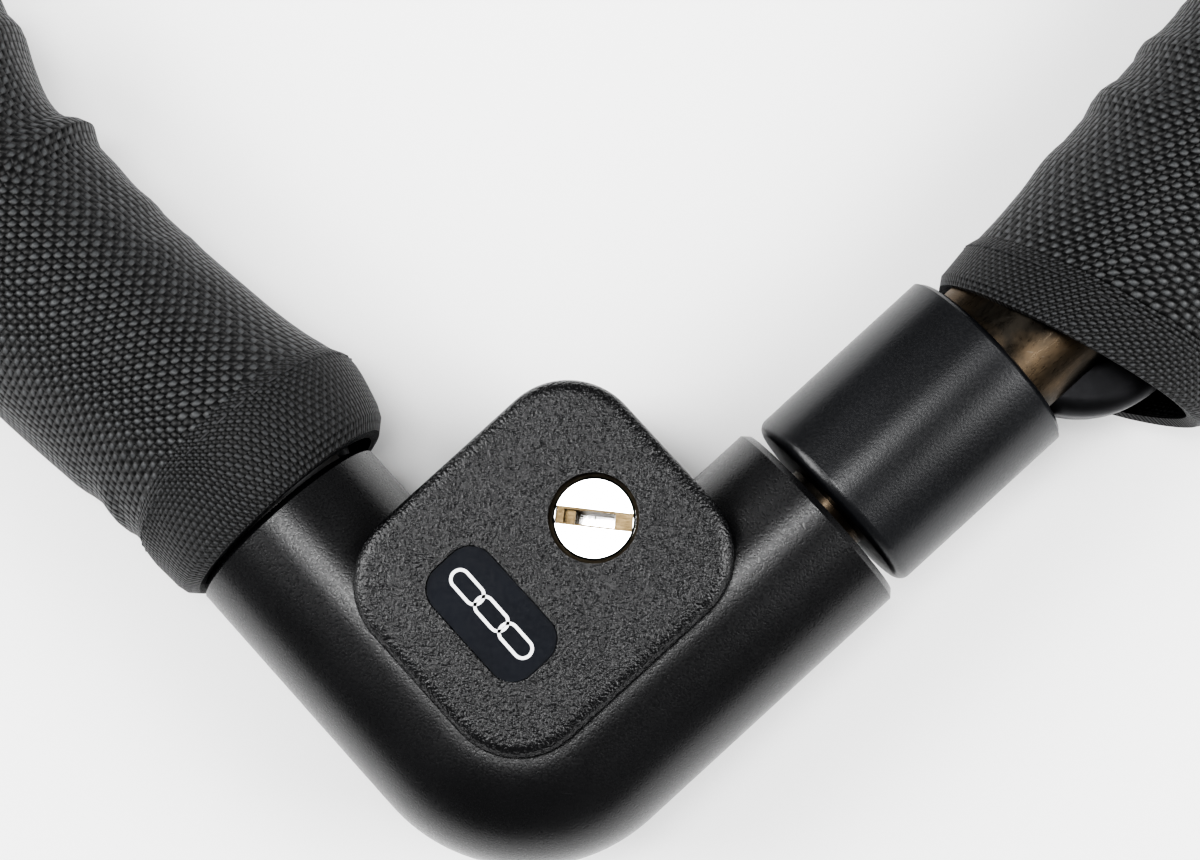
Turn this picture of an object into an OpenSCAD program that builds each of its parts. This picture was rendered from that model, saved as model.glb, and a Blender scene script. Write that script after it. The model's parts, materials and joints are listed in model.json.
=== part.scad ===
// Chain lock: an L-shaped lock housing with a keyed cylinder, a sliding bolt, and a square-link
// chain that runs in a woven sleeve from one leg of the housing round to the other.
// The face with the keyway looks up, +Z. The origin is the middle of the flat rear pad.
// Inside the lock, u runs along the bolt leg and v along the chain leg.

/* [Housing] */
// Outer radius of the round legs
leg_r = 13.8; // [13.4:0.1:13.8]
// Radius of the centre line round the elbow
elbow_r = 9; // [8.5:0.5:10]
// Wall of the plastic shells
wall = 2; // [1.8:0.1:2]
// Height of the centre line of the chain and the bolt above the rear pad
axis_z = 16; // [16:0.1:16.2]
// Bolt leg, from the corner of the two centre lines to its rim
bolt_leg = 50.4; // [50.4:0.1:50.8]
// Chain leg, from the corner to its rim
chain_leg = 45; // [44:0.5:45]
// Chamfer on the rims of the legs
rim_chamfer = 0.8; // [0.4:0.1:1]

/* [Raised face] */
// Length of the raised face along the bolt leg
face_u = 41; // [41:0.5:42]
// Width of the raised face along the chain leg
face_v = 34.5; // [34.5:0.5:36]
// Corner radius of the raised face
face_r = 9.5; // [8.5:0.5:10]
// Height of the raised face above the rear pad
face_z = 33; // [33:0.1:33.4]
// Thickness of the textured cap
cap_t = 2.8; // [2.7:0.1:3]
// Rounding of the cap's top edge
cap_edge = 1.8; // [1:0.2:2]
// Badge recess along the chain leg
badge_v = 17; // [14:0.5:18]
// Badge recess along the bolt leg
badge_u = 9.2; // [8:0.2:10]

/* [Cylinder] */
// Position of the cylinder along the bolt leg
key_u = 29; // [29:0.1:29.2]
// Position of the cylinder along the chain leg
key_v = 17.5; // [17.5:0.1:17.6]
// Radius of the turning plug
plug_r = 5; // [5:0.01:5.02]
// Radial running clearance of the plug
plug_play = 0.04; // [0.03:0.01:0.06]
// Radius of the fixed barrel
barrel_r = 8; // [7.8:0.1:8]
// Width of the keyway
keyway_w = 2.2; // [2:0.1:2.4]
// Length of the keyway across the plug
keyway_l = 9.4; // [9:0.1:9.5]
// Angle of the keyway from the bolt leg
keyway_angle = -49; // [-60:1:-40]
// Number of wafers
wafer_count = 6; // [4:1:6]
// Throw of the eccentric pin under the plug
throw_r = 4; // [3.9:0.1:4]

/* [Bolt] */
// Radius of the bolt's shank
shank_r = 6; // [5.9:0.05:6]
// Radius of the steel head that holds the chain
head_r = 10.5; // [10.3:0.1:10.5]
// Outer radius of the plastic collar
collar_r = 13.2; // [12.8:0.1:13.2]
// Start of the collar along the bolt leg
collar_start = 51.8; // [51.6:0.1:52]
// End of the collar
collar_end = 79.5; // [78:0.5:80]
// Pin that holds the last link, along the bolt leg
link_pin_u = 92; // [92:0.5:94]
// Sideways offset of that pin, away from the loop
link_pin_side = 3; // [0:0.5:3]
// Pin that holds the first link, along the chain leg
anchor_v = 54; // [54:0.5:55]
// Radius of both pins
pin_r = 4.5; // [4.3:0.1:4.5]

/* [Chain] */
// Square bar of the links
bar = 8; // [7.8:0.1:8]
// Corner radius of the bar
bar_edge = 2.5; // [2:0.1:2.5]
// Inner length of a link
link_inner = 39; // [38:0.5:40]
// Inner width of a link
link_gap = 12; // [12:0.1:12.2]
// Number of links, an odd number
links = 17; // [15:2:19]
// Slack between two links that hang straight
link_slack = 1; // [1:0.1:1.5]
// Heading of the chain as it leaves the chain leg, from +X
leaving = 141.5; // [139:0.5:143]
// Heading of the other end as it leaves the bolt
returning = 51.5; // [49:0.5:53]

/* [Sleeve] */
// Outer radius of the woven sleeve
sleeve_r = 15.9; // [15.8:0.05:15.95]
// Thickness of the sleeve
sleeve_t = 1.2; // [1:0.1:1.2]
// Gap between two stretches of sleeve at a link's pivot
sleeve_gap = 1.5; // [1.5:0.1:2]
// Width of the hem at the bolt's end
hem_w = 8; // [7:0.5:9]
// Reach of the sleeve's mouth past the link pin
mouth_reach = 6; // [5:0.5:7]

/* [Hidden] */
$fn = 64;
far = 100;

// Corner of the two centre lines, placed so that the raised face is centred on the origin
lock_turn = 45;
corner_x = -(face_u - face_v) / 2 * cos(lock_turn);
corner_y = -(face_u + face_v) / 2 * sin(lock_turn);

// Heights in the housing, from the rear pad up
pad_edge = 1.2;
groove_h = 0.6;
groove_d = 0.4;
seat_z = face_z - cap_t;
core_bottom = 4.7;
core_top = 27.3;
post_z = 22;

// Steel lock body
core_r = leg_r - wall - 0.3;
core_gap = wall + 0.3;
core_corner = 7;
bolt_mouth = bolt_leg - 1.4;
fork_end = anchor_v + 7;
fork_h = bar + 1;
eye_r = link_gap / 2 + bar;
eye_room = 0.6;
bolt_tip = 17;
bolt_play = 0.06;

// Cylinder, from its rear up
barrel_bottom = 16.9;
barrel_top = face_z - 1.8;
barrel_floor = 2;
plug_top = face_z - 1.6;
tail_r = 3;
tail_bottom = 14.2;
clip_bottom = 15.95;
clip_t = 0.7;
cam_bottom = 12.7;
cam_top = 15.7;
cam_r = 5.6;
cam_pin_r = 1.5;
wafer_t = 0.9;
wafer_pitch = 1.9;
wafer_z = 20.2;
wafer_l = 9.2;
wafer_w = 3.2;
screw_r = 1.2;
thread_play = 0.02;

// Slide that locks the bolt
slide_travel = 2 * throw_r * sin(45);
slide_bottom = 8.3;
slide_top = 12.2;
slide_left = 21.9;
slide_right = 32.5;
slide_tail = 26.7;
slide_head = 12.5;
tongue_half = 2.7;
tongue_tip = 5.4;
pocket_top = 12.5;
pocket_play = 0.3;
plate_bottom = 4.9;
plate_top = 7.9;
spring_end = 31.2;
spring_r = 1.4;
spring_wire = 0.25;
spring_turns = 5;
spring_z = 10.3;

// Screws: places in u and v
shell_screw_at = [[13, 28.8], [12.5, 9], [35.2, 28.1], [36.8, 9]];
plate_screw_at = [[19, 11.5], [19, 23.5]];
post_r = 2.4;
screw_head_r = 2.3;

// Chain: pivots of the flat links are at the centres of their round ends
pivot_flat = link_inner - link_gap;
pivot_upright = link_inner + bar + 2 * (link_gap / 2 + bar / 2 - bar - link_slack);
flats = (links + 1) / 2;
chain_length = flats * pivot_flat + (flats - 1) * pivot_upright;
out_dir = [cos(leaving), sin(leaving)];
back_dir = [cos(returning), sin(returning)];
anchor_at = lock_xy(0, anchor_v);
link_pin_at = lock_xy(link_pin_u, -link_pin_side);
// Distances of the two pins from the point where the two straight stretches would cross
cross_out = (anchor_at - link_pin_at) * out_dir;
cross_back = (link_pin_at - anchor_at) * back_dir;
loop_r = (chain_length + cross_out + cross_back) / (2 + 1.5 * PI);
straight_out = loop_r - cross_out;
loop_arc = 1.5 * PI * loop_r;
loop_centre = anchor_at + out_dir * straight_out + back_dir * loop_r;

// ---- Names and places

function numbered(name, i) = str(name, "_", i < 10 ? "0" : "", i);

// A point of the lock, u along the bolt leg and v along the chain leg, in X and Y
function lock_xy(u, v) = [
    corner_x + u * cos(lock_turn) - v * sin(lock_turn),
    corner_y + u * sin(lock_turn) + v * cos(lock_turn)];

// Heading of the route at the distance s from the anchor pin
function route_heading(s) =
    leaving - 270 * min(1, max(0, (s - straight_out) / loop_arc));

// Point of the route: out straight, round clockwise, and straight back to the bolt
function route_point(s) =
    s < straight_out ? anchor_at + out_dir * s
    : s < straight_out + loop_arc
        ? loop_centre + loop_r * [cos(route_heading(s) + 90), sin(route_heading(s) + 90)]
        : link_pin_at + back_dir * (chain_length - s);

// Middle of the flat link k, and its pivots: side -1 is nearer the anchor, +1 nearer the bolt
function flat_s(k) = pivot_flat / 2 + k * (pivot_flat + pivot_upright);
function flat_pivot(k, side) = route_point(flat_s(k))
    + side * pivot_flat / 2 * [cos(route_heading(flat_s(k))), sin(route_heading(flat_s(k)))];

// Links are numbered from the anchor: odd links lie flat and even links stand upright
function link_start(i) = i % 2 == 1 ? flat_pivot((i - 1) / 2, -1) : flat_pivot(i / 2 - 1, 1);
function link_end(i) = i % 2 == 1 ? flat_pivot((i - 1) / 2, 1) : flat_pivot(i / 2, -1);
function link_angle(i) = heading_of(link_end(i) - link_start(i));
function heading_of(d) = atan2(d[1], d[0]);
// Turn between two headings, between -180 and 180
function turn(a, b) = (b - a + 540) % 360 - 180;

module in_lock() { translate([corner_x, corner_y, 0]) rotate([0, 0, lock_turn]) children(); }
module along_u() { translate([0, 0, axis_z]) rotate([0, 90, 0]) children(); }
module along_v() { translate([0, 0, axis_z]) rotate([-90, 0, 0]) children(); }
module at_key(z) { translate([key_u, key_v, z]) children(); }
module at_points(points, z) { for (p = points) translate([p[0], p[1], z]) children(); }

// ---- Shared shapes

module rounded_rect(x, y, r) {
    translate([r, 0]) square([x - 2 * r, y]);
    translate([0, r]) square([x, y - 2 * r]);
    for (px = [r, x - r], py = [r, y - r]) translate([px, py]) circle(r);
}

// Section of the rounding e of a top edge at the height h
module edge_section(x, h, e) {
    translate([x, h - e]) intersection() {
        circle(e);
        translate([-e, 0]) square([2 * e, e]);
    }
}

// Section of a slab with a rounded top edge e
module soft_section(w, h, e) {
    square([w, h - e]);
    translate([e, 0]) square([w - 2 * e, h]);
    for (x = [e, w - e]) edge_section(x, h, e);
}

// Slab with corners r and a top edge rounded by e all round
module soft_slab(x, y, r, h, e) {
    for (c = [[r, r, 180], [x - r, r, 270], [x - r, y - r, 0], [r, y - r, 90]])
        translate([c[0], c[1], 0]) rotate([0, 0, c[2]]) rotate_extrude(angle = 90) {
            square([r, h - e]);
            square([r - e, h]);
            edge_section(r - e, h, e);
        }
    translate([0, y - r, 0]) rotate([90, 0, 0]) linear_extrude(y - 2 * r) soft_section(x, h, e);
    translate([r, 0, 0]) rotate([90, 0, 90]) linear_extrude(x - 2 * r) soft_section(y, h, e);
}

// Round rod from one height to another with a chamfer at its far end
module rod(r, from, to, chamfer = 0) {
    rotate_extrude() polygon([[0, from], [r, from], [r, to - chamfer], [r - chamfer, to], [0, to]]);
}

// The round L of the housing, or of its hollow
module elbow_tube(r, u_end, v_end, chamfer = 0) {
    along_u() rod(r, elbow_r, u_end, chamfer);
    along_v() rod(r, elbow_r, v_end, chamfer);
    translate([elbow_r, elbow_r, axis_z]) rotate([0, 0, 180]) rotate_extrude(angle = 90)
        intersection() {
            translate([elbow_r, 0]) circle(r);
            translate([0, -r]) square([elbow_r + r, 2 * r]);
        }
}

module housing_hollow() {
    elbow_tube(leg_r - wall, bolt_leg + 1, chain_leg + 1);
    translate([wall, wall, wall]) linear_extrude(seat_z - 2 * wall)
        rounded_rect(face_u - 2 * wall, face_v - 2 * wall, face_r - wall);
}

module screw(head_bottom, head_h, head_r, tip) {
    translate([0, 0, head_bottom]) difference() {
        rod(head_r, 0, head_h);
        translate([0, 0, -1]) cylinder(r = head_r * 0.5, h = 1 + head_h * 0.5, $fn = 6);
    }
    rod(screw_r, head_bottom + head_h * 0.6, tip, 0.3);
}

// ---- Housing

module front_shell() color([0.07, 0.07, 0.08]) in_lock() {
    difference() {
        intersection() {
            union() {
                elbow_tube(leg_r, bolt_leg, chain_leg, rim_chamfer);
                translate([0, 0, axis_z]) linear_extrude(seat_z - groove_h - axis_z)
                    rounded_rect(face_u, face_v, face_r);
                translate([groove_d, groove_d, axis_z]) linear_extrude(seat_z - axis_z)
                    rounded_rect(face_u - 2 * groove_d, face_v - 2 * groove_d, face_r - groove_d);
            }
            translate([-far / 2, -far / 2, axis_z]) cube([2 * far, 2 * far, far]);
        }
        housing_hollow();
        at_key(axis_z) cylinder(r = barrel_r + 0.2, h = far);
    }
    // Posts that the shell screws bite into
    at_points(shell_screw_at, post_z) difference() {
        cylinder(r = post_r, h = seat_z - wall - post_z + 0.1);
        translate([0, 0, -1]) cylinder(r = screw_r + thread_play, h = 6);
    }
}

module rear_shell() color([0.07, 0.07, 0.08]) in_lock() {
    difference() {
        union() {
            difference() {
                intersection() {
                    union() {
                        elbow_tube(leg_r, bolt_leg, chain_leg, rim_chamfer);
                        translate([0, 0, axis_z]) mirror([0, 0, 1])
                            soft_slab(face_u, face_v, face_r, axis_z, pad_edge);
                    }
                    translate([-far / 2, -far / 2, axis_z - far]) cube([2 * far, 2 * far, far]);
                }
                housing_hollow();
            }
            // Seats of the shell screws
            at_points(shell_screw_at, wall - 0.1) cylinder(r = screw_head_r + 1, h = 2.6);
        }
        at_points(shell_screw_at, -1) cylinder(r = screw_head_r + 0.2, h = 3.3);
        at_points(shell_screw_at, -1) cylinder(r = screw_r + 0.2, h = 9);
    }
}

module face_cap() color([0.1, 0.1, 0.11]) in_lock() difference() {
    translate([0, 0, seat_z]) soft_slab(face_u, face_v, face_r, cap_t, cap_edge);
    at_key(0) cylinder(r = plug_r + 0.45, h = far);
    at_key(0) cylinder(r = barrel_r + 0.3, h = barrel_top + 0.1);
    badge_place(0.1, face_z - 1) linear_extrude(far) badge_outline(0.1);
}

// Middle of the badge, between the cylinder and the chain leg
module badge_place(grow, z) {
    translate([12.35 - badge_u / 2 - grow, face_v / 2 - badge_v / 2 - grow, z]) children();
}
module badge_outline(grow) {
    rounded_rect(badge_u + 2 * grow, badge_v + 2 * grow, 3.2 + grow);
}

module badge_plate() color([0.06, 0.08, 0.16]) in_lock()
    badge_place(0, face_z - 1) linear_extrude(0.7) badge_outline(0);

// ---- Steel inside

module lock_body() color([0.55, 0.55, 0.56]) in_lock() difference() {
    union() {
        along_u() rod(core_r, elbow_r, bolt_mouth, 0.5);
        along_v() rod(core_r, elbow_r, fork_end, 1);
        translate([elbow_r * (1 - cos(45)), elbow_r * (1 - sin(45)), axis_z]) rotate([0, 0, 20]) sphere(core_r);
        translate([core_gap, core_gap, core_bottom]) linear_extrude(core_top - core_bottom)
            rounded_rect(face_u - 2 * core_gap, face_v - 2 * core_gap, core_corner);
    }
    // Bore of the bolt
    along_u() rod(shank_r + bolt_play, bolt_tip - 0.8, bolt_leg);
    // Fork and pin of the first link
    translate([-leg_r, anchor_v - eye_r - eye_room, axis_z - fork_h / 2])
        cube([2 * leg_r, far, fork_h]);
    translate([0, anchor_v, 0]) cylinder(r = pin_r, h = far);
    // Seat of the cylinder, room for its cam, and the slide's pocket
    at_key(barrel_bottom) cylinder(r = barrel_r + 0.04, h = far);
    at_key(pocket_top - 0.1) cylinder(r = cam_r + 0.7, h = barrel_bottom - pocket_top + 0.2);
    translate([slide_left - pocket_play, slide_head - slide_travel - pocket_play, plate_top - 1])
        cube([slide_right - slide_left + 2 * pocket_play,
              slide_tail - slide_head + slide_travel + 2 * pocket_play, pocket_top - plate_top + 1]);
    translate([key_u - tongue_half - 0.2, -1, slide_bottom - 0.2])
        cube([2 * tongue_half + 0.4, 9, pocket_top - slide_bottom + 0.2]);
    mechanism_plate_shape(0.05, core_bottom - 1);
    translate([key_u, slide_tail, spring_z]) rotate([-90, 0, 0])
        cylinder(r = spring_r + spring_wire + 0.3, h = spring_end - slide_tail + 0.2);
    // Screws
    at_points(plate_screw_at, 0) cylinder(r = screw_r + thread_play, h = 14);
    at_points(shell_screw_at, 0) cylinder(r = screw_r + 0.3, h = far);
    at_points(shell_screw_at, post_z - 0.2) cylinder(r = post_r + 0.2, h = far);
}

module mechanism_plate_shape(grow, bottom) {
    translate([16.4 - grow, 5.6 - grow, bottom]) linear_extrude(plate_top - bottom)
        rounded_rect(17.3 + 2 * grow, 22.9 + 2 * grow, 2);
}

module mechanism_plate() color([0.7, 0.7, 0.72]) in_lock() difference() {
    mechanism_plate_shape(0, plate_bottom);
    at_points(plate_screw_at, 0) cylinder(r = screw_r + 0.2, h = far);
    at_points(plate_screw_at, plate_bottom - 1) cylinder(r = screw_head_r + 0.1, h = 2.5);
}

module plate_screws() color([0.75, 0.75, 0.77]) in_lock()
    at_points(plate_screw_at, 0) screw(plate_bottom + 0.05, 1.4, screw_head_r, 13.5);

module shell_screws() color([0.5, 0.5, 0.52]) in_lock()
    at_points(shell_screw_at, 0) screw(0.5, 1.7, screw_head_r, 26);

module anchor_pin() color([0.6, 0.6, 0.62]) in_lock()
    translate([0, anchor_v, 0]) rod(pin_r, axis_z - 10, axis_z + 10, 0.5);

module socket_seal() color([0.04, 0.04, 0.04]) in_lock() along_u() difference() {
    rod(leg_r - wall - 0.1, bolt_mouth + 0.1, bolt_leg - 0.2);
    rod(shank_r + bolt_play, bolt_mouth - 1, bolt_leg + 1);
}

// ---- Cylinder

module cylinder_barrel() color([0.72, 0.62, 0.36]) in_lock() at_key(0) difference() {
    rod(barrel_r, barrel_bottom, barrel_top, 0.3);
    rod(plug_r + plug_play, barrel_bottom + barrel_floor, far);
    rod(tail_r + plug_play, 0, far);
    // Channels that take the wafers when the key is out
    rotate([0, 0, keyway_angle]) translate([-plug_r - 0.8, -wafer_w / 2 - 0.3, wafer_z - 0.5])
        cube([2 * plug_r + 1.6, wafer_w + 0.6, wafer_pitch * wafer_count]);
}

module cylinder_plug() color([0.8, 0.8, 0.82]) in_lock() at_key(0) difference() {
    union() {
        rod(plug_r, barrel_bottom + barrel_floor + 0.05, plug_top, 0.25);
        rod(tail_r, tail_bottom, barrel_bottom + barrel_floor + 0.1);
    }
    difference() {
        rod(tail_r + 1, clip_bottom - 0.1, clip_bottom + clip_t + 0.1);
        rod(tail_r - 0.5, 0, far);
    }
    rod(screw_r + thread_play, 0, tail_bottom + 3.6);
    rotate([0, 0, keyway_angle]) {
        translate([-keyway_l / 2, -keyway_w / 2, wafer_z - 0.6]) cube([keyway_l, keyway_w, far]);
        for (k = [0:wafer_count - 1]) translate([0, 0, wafer_z + k * wafer_pitch - 0.1]) {
            translate([-plug_r - 1, -wafer_w / 2 - 0.1, 0])
                cube([2 * plug_r + 2, wafer_w + 0.2, wafer_t + 0.2]);
            translate([-1.5, 0, 0]) cube([3, wafer_w / 2 + 1.2, wafer_t + 0.2]);
        }
    }
}

// Wafers, with windows that the key's blade lifts one way and the other in turn
module wafers() color([0.83, 0.68, 0.3]) in_lock() at_key(0) rotate([0, 0, keyway_angle])
    for (k = [0:wafer_count - 1]) translate([0, 0, wafer_z + k * wafer_pitch]) difference() {
        translate([-wafer_l / 2, -wafer_w / 2, 0]) cube([wafer_l, wafer_w, wafer_t]);
        translate([-3.1 + (k % 2 == 0 ? 0.7 : -0.6), -0.85, -1]) cube([6.2, 1.7, 3]);
    }

module wafer_springs() color([0.7, 0.7, 0.7]) in_lock() at_key(0) rotate([0, 0, keyway_angle])
    for (k = [0:wafer_count - 1])
        translate([-1.35, wafer_w / 2 + 0.6, wafer_z + k * wafer_pitch + wafer_t / 2])
            rotate([0, 90, 0]) cylinder(r = 0.42, h = 2.7);

module plug_clip() color([0.65, 0.65, 0.66]) in_lock() at_key(0) difference() {
    rod(tail_r + 1.4, clip_bottom, clip_bottom + clip_t);
    rod(tail_r - 0.48, 0, far);
    translate([0, -1.6, 0]) cube([far, 3.2, far]);
}

module drive_cam() color([0.6, 0.58, 0.5]) in_lock() at_key(0) {
    difference() {
        rod(cam_r, cam_bottom, cam_top, 0.3);
        rod(tail_r + 0.02, tail_bottom, far);
        rod(screw_r + 0.1, 0, far);
    }
    // Eccentric pin that pushes the slide
    translate([throw_r * cos(135), throw_r * sin(135), 0])
        rod(cam_pin_r, plate_top + 0.8, cam_bottom + 0.5);
}

module cam_screw() color([0.75, 0.75, 0.77]) in_lock() at_key(0)
    screw(cam_bottom - 1.7, 1.7, 2.2, tail_bottom + 3.3);

// ---- Slide

module locking_slide() color([0.66, 0.66, 0.68]) in_lock() difference() {
    translate([0, 0, slide_bottom]) linear_extrude(slide_top - slide_bottom) difference() {
        union() {
            translate([slide_left, slide_head])
                square([slide_right - slide_left, slide_tail - slide_head]);
            translate([key_u - tongue_half, tongue_tip])
                square([2 * tongue_half, slide_head - tongue_tip + 0.1]);
        }
        // Clearance for the cam screw, and the cross slot for the eccentric pin
        translate([key_u - 2.45, key_v - 2.45]) square([4.9, 4.9 + slide_travel]);
        translate([slide_left + 1.1, key_v + throw_r * sin(45) - cam_pin_r - 0.25])
            square([key_u - slide_left - 2.6, 2 * cam_pin_r + 0.5]);
    }
}

// Spring behind the slide: a round wire wound by a rule
module slide_spring() color([0.75, 0.75, 0.78]) in_lock()
    translate([key_u, slide_tail + spring_wire + 0.05, spring_z]) rotate([-90, 0, 0])
        wound_wire(spring_r, spring_wire, spring_end - slide_tail - 2 * spring_wire - 0.1);

module wound_wire(r, wire, length) {
    steps = 12 * spring_turns;
    sides = 6;
    rings = [for (i = [0:steps], j = [0:sides - 1])
        let (a = 30 * i, b = 360 * j / sides, rho = r + wire * cos(b))
            [rho * cos(a), rho * sin(a), length * i / steps + wire * sin(b)]];
    polyhedron(rings, concat(
        [[for (j = [0:sides - 1]) j]],
        [for (i = [0:steps - 1], j = [0:sides - 1])
            let (n = (j + 1) % sides, c = i * sides, d = c + sides) [c + j, d + j, d + n, c + n]],
        [[for (j = [sides - 1:-1:0]) steps * sides + j]]));
}

// ---- Bolt

module bolt() color([0.42, 0.39, 0.34]) in_lock() difference() {
    along_u() rotate_extrude() polygon([
        [0, bolt_tip], [shank_r - 1.5, bolt_tip], [shank_r, bolt_tip + 1.6],
        [shank_r, key_u - 3], [shank_r - 2.5, key_u - 3], [shank_r - 2.5, key_u + 3],
        [shank_r, key_u + 3], [shank_r, collar_start + 1.5], [head_r, collar_start + 1.5],
        [head_r, link_pin_u + 6], [head_r - 1, link_pin_u + 7], [0, link_pin_u + 7]]);
    translate([link_pin_u - eye_r - eye_room, -leg_r, axis_z - fork_h / 2])
        cube([far, 2 * leg_r, fork_h]);
    translate([link_pin_u, -link_pin_side, 0]) cylinder(r = pin_r, h = far);
}

module bolt_collar() color([0.05, 0.05, 0.06]) in_lock() along_u() rotate_extrude()
    difference() {
        union() {
            translate([0, collar_start + 1.5]) square([collar_r, collar_end - collar_start - 2.3]);
            translate([0, collar_start]) square([collar_r - 1.5, collar_end - collar_start]);
            translate([collar_r - 1.5, collar_start + 1.5]) circle(1.5);
            translate([collar_r - 1.5, collar_end - 1.5]) circle(1.5);
        }
        square([shank_r + 0.02, far]);
        translate([0, collar_start + 1.5]) square([head_r, far]);
    }

module link_pin() color([0.6, 0.6, 0.62]) in_lock()
    translate([link_pin_u, -link_pin_side, 0]) rod(pin_r, axis_z - 7.2, axis_z + 7.2, 0.5);

// ---- Chain

module bar_section() {
    translate([-bar / 2, -bar / 2]) rounded_rect(bar, bar, bar_edge);
}

module link_shape() {
    side = (link_gap + bar) / 2;
    for (m = [0, 1]) mirror([m, 0, 0]) translate([pivot_flat / 2, 0, 0]) rotate([0, 0, -90])
        rotate_extrude(angle = 180) translate([side, 0]) bar_section();
    for (y = [-side, side]) translate([-pivot_flat / 2, y, 0]) rotate([0, 90, 0])
        linear_extrude(pivot_flat) bar_section();
}

module chain_link(i) color([0.62, 0.63, 0.65]) {
    middle = (link_start(i) + link_end(i)) / 2;
    translate([middle[0], middle[1], axis_z]) rotate([0, 0, link_angle(i)])
        rotate([i % 2 == 0 ? 90 : 0, 0, 0]) link_shape();
}

// ---- Sleeve

module tube(r, from, to) {
    difference() {
        rod(r, from, to);
        rod(sleeve_r - sleeve_t, from - 1, to + 1);
    }
}

// Stretch of sleeve round link i, mitred where it meets its neighbours
module sleeve(i) color([0.12, 0.12, 0.13]) {
    start = link_start(i);
    length = norm(link_end(i) - start);
    before = i == 1 ? lock_turn + 90 : link_angle(i - 1);
    bend_in = turn(before, link_angle(i)) / 2;
    bend_out = i == links ? 0 : turn(link_angle(i), link_angle(i + 1)) / 2;
    cut = i == links ? hem_w - mouth_reach + 0.1 : sleeve_gap / 2;
    translate([start[0], start[1], axis_z]) rotate([0, 0, link_angle(i)]) difference() {
        rotate([0, 90, 0]) tube(sleeve_r, -5, length + 5);
        rotate([0, 0, -bend_in]) translate([sleeve_gap / 2 - far, -far / 2, -far / 2])
            cube(far);
        translate([length, 0, 0]) rotate([0, 0, bend_out]) translate([-cut, -far / 2, -far / 2])
            cube(far);
    }
}

// Hem that is clamped on the rim of the chain leg
module sleeve_hem_left() color([0.1, 0.1, 0.1]) in_lock()
    along_v() tube(sleeve_r + 0.1, chain_leg - 2, anchor_v - 1.7);

// Hem round the open mouth at the bolt
module sleeve_hem_right() color([0.1, 0.1, 0.1])
    translate([link_pin_at[0], link_pin_at[1], axis_z]) rotate([0, 0, link_angle(links)])
        rotate([0, 90, 0]) tube(sleeve_r + 0.1, mouth_reach - hem_w, mouth_reach);

front_shell();
rear_shell();
face_cap();
badge_plate();
lock_body();
cylinder_barrel();
cylinder_plug();
wafers();
wafer_springs();
plug_clip();
drive_cam();
cam_screw();
locking_slide();
slide_spring();
mechanism_plate();
plate_screws();
shell_screws();
anchor_pin();
socket_seal();
bolt();
bolt_collar();
link_pin();
sleeve_hem_left();
sleeve_hem_right();
for (i = [1:links]) {
    chain_link(i);
    sleeve(i);
}
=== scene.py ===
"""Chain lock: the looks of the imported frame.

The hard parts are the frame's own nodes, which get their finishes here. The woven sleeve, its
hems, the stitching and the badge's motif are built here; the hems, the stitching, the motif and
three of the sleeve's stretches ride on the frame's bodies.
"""

import json
import logging
import math
from dataclasses import dataclass, field
from enum import Enum
from typing import Callable, Optional

import bpy
import numpy as np
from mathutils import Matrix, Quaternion, Vector

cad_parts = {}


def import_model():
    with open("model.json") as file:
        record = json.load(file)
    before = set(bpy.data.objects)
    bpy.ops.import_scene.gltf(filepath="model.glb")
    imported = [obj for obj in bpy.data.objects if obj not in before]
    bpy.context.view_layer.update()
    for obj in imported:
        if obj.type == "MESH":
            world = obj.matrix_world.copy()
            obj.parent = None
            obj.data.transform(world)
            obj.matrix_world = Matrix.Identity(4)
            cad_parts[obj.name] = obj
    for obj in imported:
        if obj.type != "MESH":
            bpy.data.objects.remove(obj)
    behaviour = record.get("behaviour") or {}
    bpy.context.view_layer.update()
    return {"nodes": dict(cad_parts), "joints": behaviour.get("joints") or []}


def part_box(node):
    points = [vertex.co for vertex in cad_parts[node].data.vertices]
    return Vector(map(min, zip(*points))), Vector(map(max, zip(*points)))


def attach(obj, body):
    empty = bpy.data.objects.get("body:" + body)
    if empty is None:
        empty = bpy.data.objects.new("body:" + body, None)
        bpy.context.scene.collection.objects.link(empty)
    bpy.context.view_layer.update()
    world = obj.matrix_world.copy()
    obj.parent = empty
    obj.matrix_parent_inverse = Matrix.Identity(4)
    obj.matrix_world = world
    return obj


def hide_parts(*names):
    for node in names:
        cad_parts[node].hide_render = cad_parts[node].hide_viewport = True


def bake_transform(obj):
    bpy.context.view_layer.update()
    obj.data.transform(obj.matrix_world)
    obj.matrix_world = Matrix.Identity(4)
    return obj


MM = 0.001
SEED = 7
log = logging.getLogger("chain_lock")


# ---------------------------------------------------------------- small helpers


def direction(degrees: float) -> np.ndarray:
    """Unit vector in the XY plane at an angle from +X."""
    return np.array([math.cos(math.radians(degrees)), math.sin(math.radians(degrees)), 0.0])


def smoothstep(low: float, high: float, value: np.ndarray) -> np.ndarray:
    """Soft step from 0 at low to 1 at high.

    Args:
        low: where the step starts.
        high: where it ends.
        value: the values to look up.

    Returns:
        An array of values from 0 to 1.
    """
    t = np.clip((np.asarray(value, float) - low) / (high - low), 0.0, 1.0)
    return t * t * (3.0 - 2.0 * t)


def mesh_object(name: str, vertices: np.ndarray, faces: list, smooth: bool = True) -> bpy.types.Object:
    """Makes a mesh object and links it to the scene.

    Args:
        name: the object's name.
        vertices: an array of points, in metres.
        faces: tuples of vertex numbers.
        smooth: whether its faces are shaded smooth.

    Returns:
        The new object.
    """
    mesh = bpy.data.meshes.new(name)
    mesh.from_pydata([tuple(map(float, v)) for v in vertices], [], [tuple(map(int, f)) for f in faces])
    mesh.validate()
    mesh.update()
    if smooth:
        mesh.polygons.foreach_set("use_smooth", [True] * len(mesh.polygons))
    made = bpy.data.objects.new(name, mesh)
    bpy.context.scene.collection.objects.link(made)
    return made


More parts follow.
